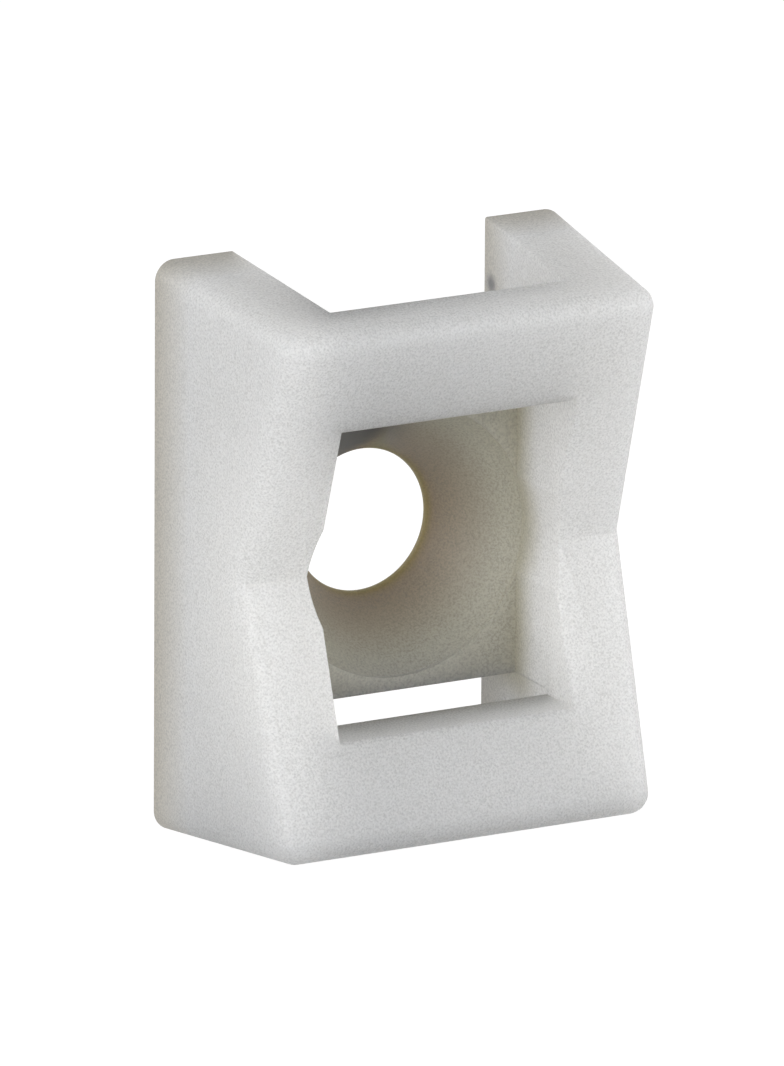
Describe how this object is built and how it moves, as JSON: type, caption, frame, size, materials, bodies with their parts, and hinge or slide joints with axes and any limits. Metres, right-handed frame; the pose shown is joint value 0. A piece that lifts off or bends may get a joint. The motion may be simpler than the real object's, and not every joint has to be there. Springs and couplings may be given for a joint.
{
  "type": "cable tie mount",
  "caption": "Screw-down saddle mount for a cable tie: a drafted nylon block with a V-shaped cradle, a strap passage under crossbars and a countersunk screw hole.",
  "frame": {"origin": "where the screw-hole axis meets the flat base", "axes": "+Y out of the flat base towards the wall or panel it is screwed to, -Y out of the cradle, Z along the cable tie, X across its width"},
  "size_m": [0.017, 0.0091, 0.022],
  "materials": {
    "nylon": "natural uncoloured polyamide 6.6, injection-moulded, milky and slightly translucent, fine matt surface"
  },
  "bodies": {
    "root": {"mount_body": "nylon"}
  },
  "joints": []
}
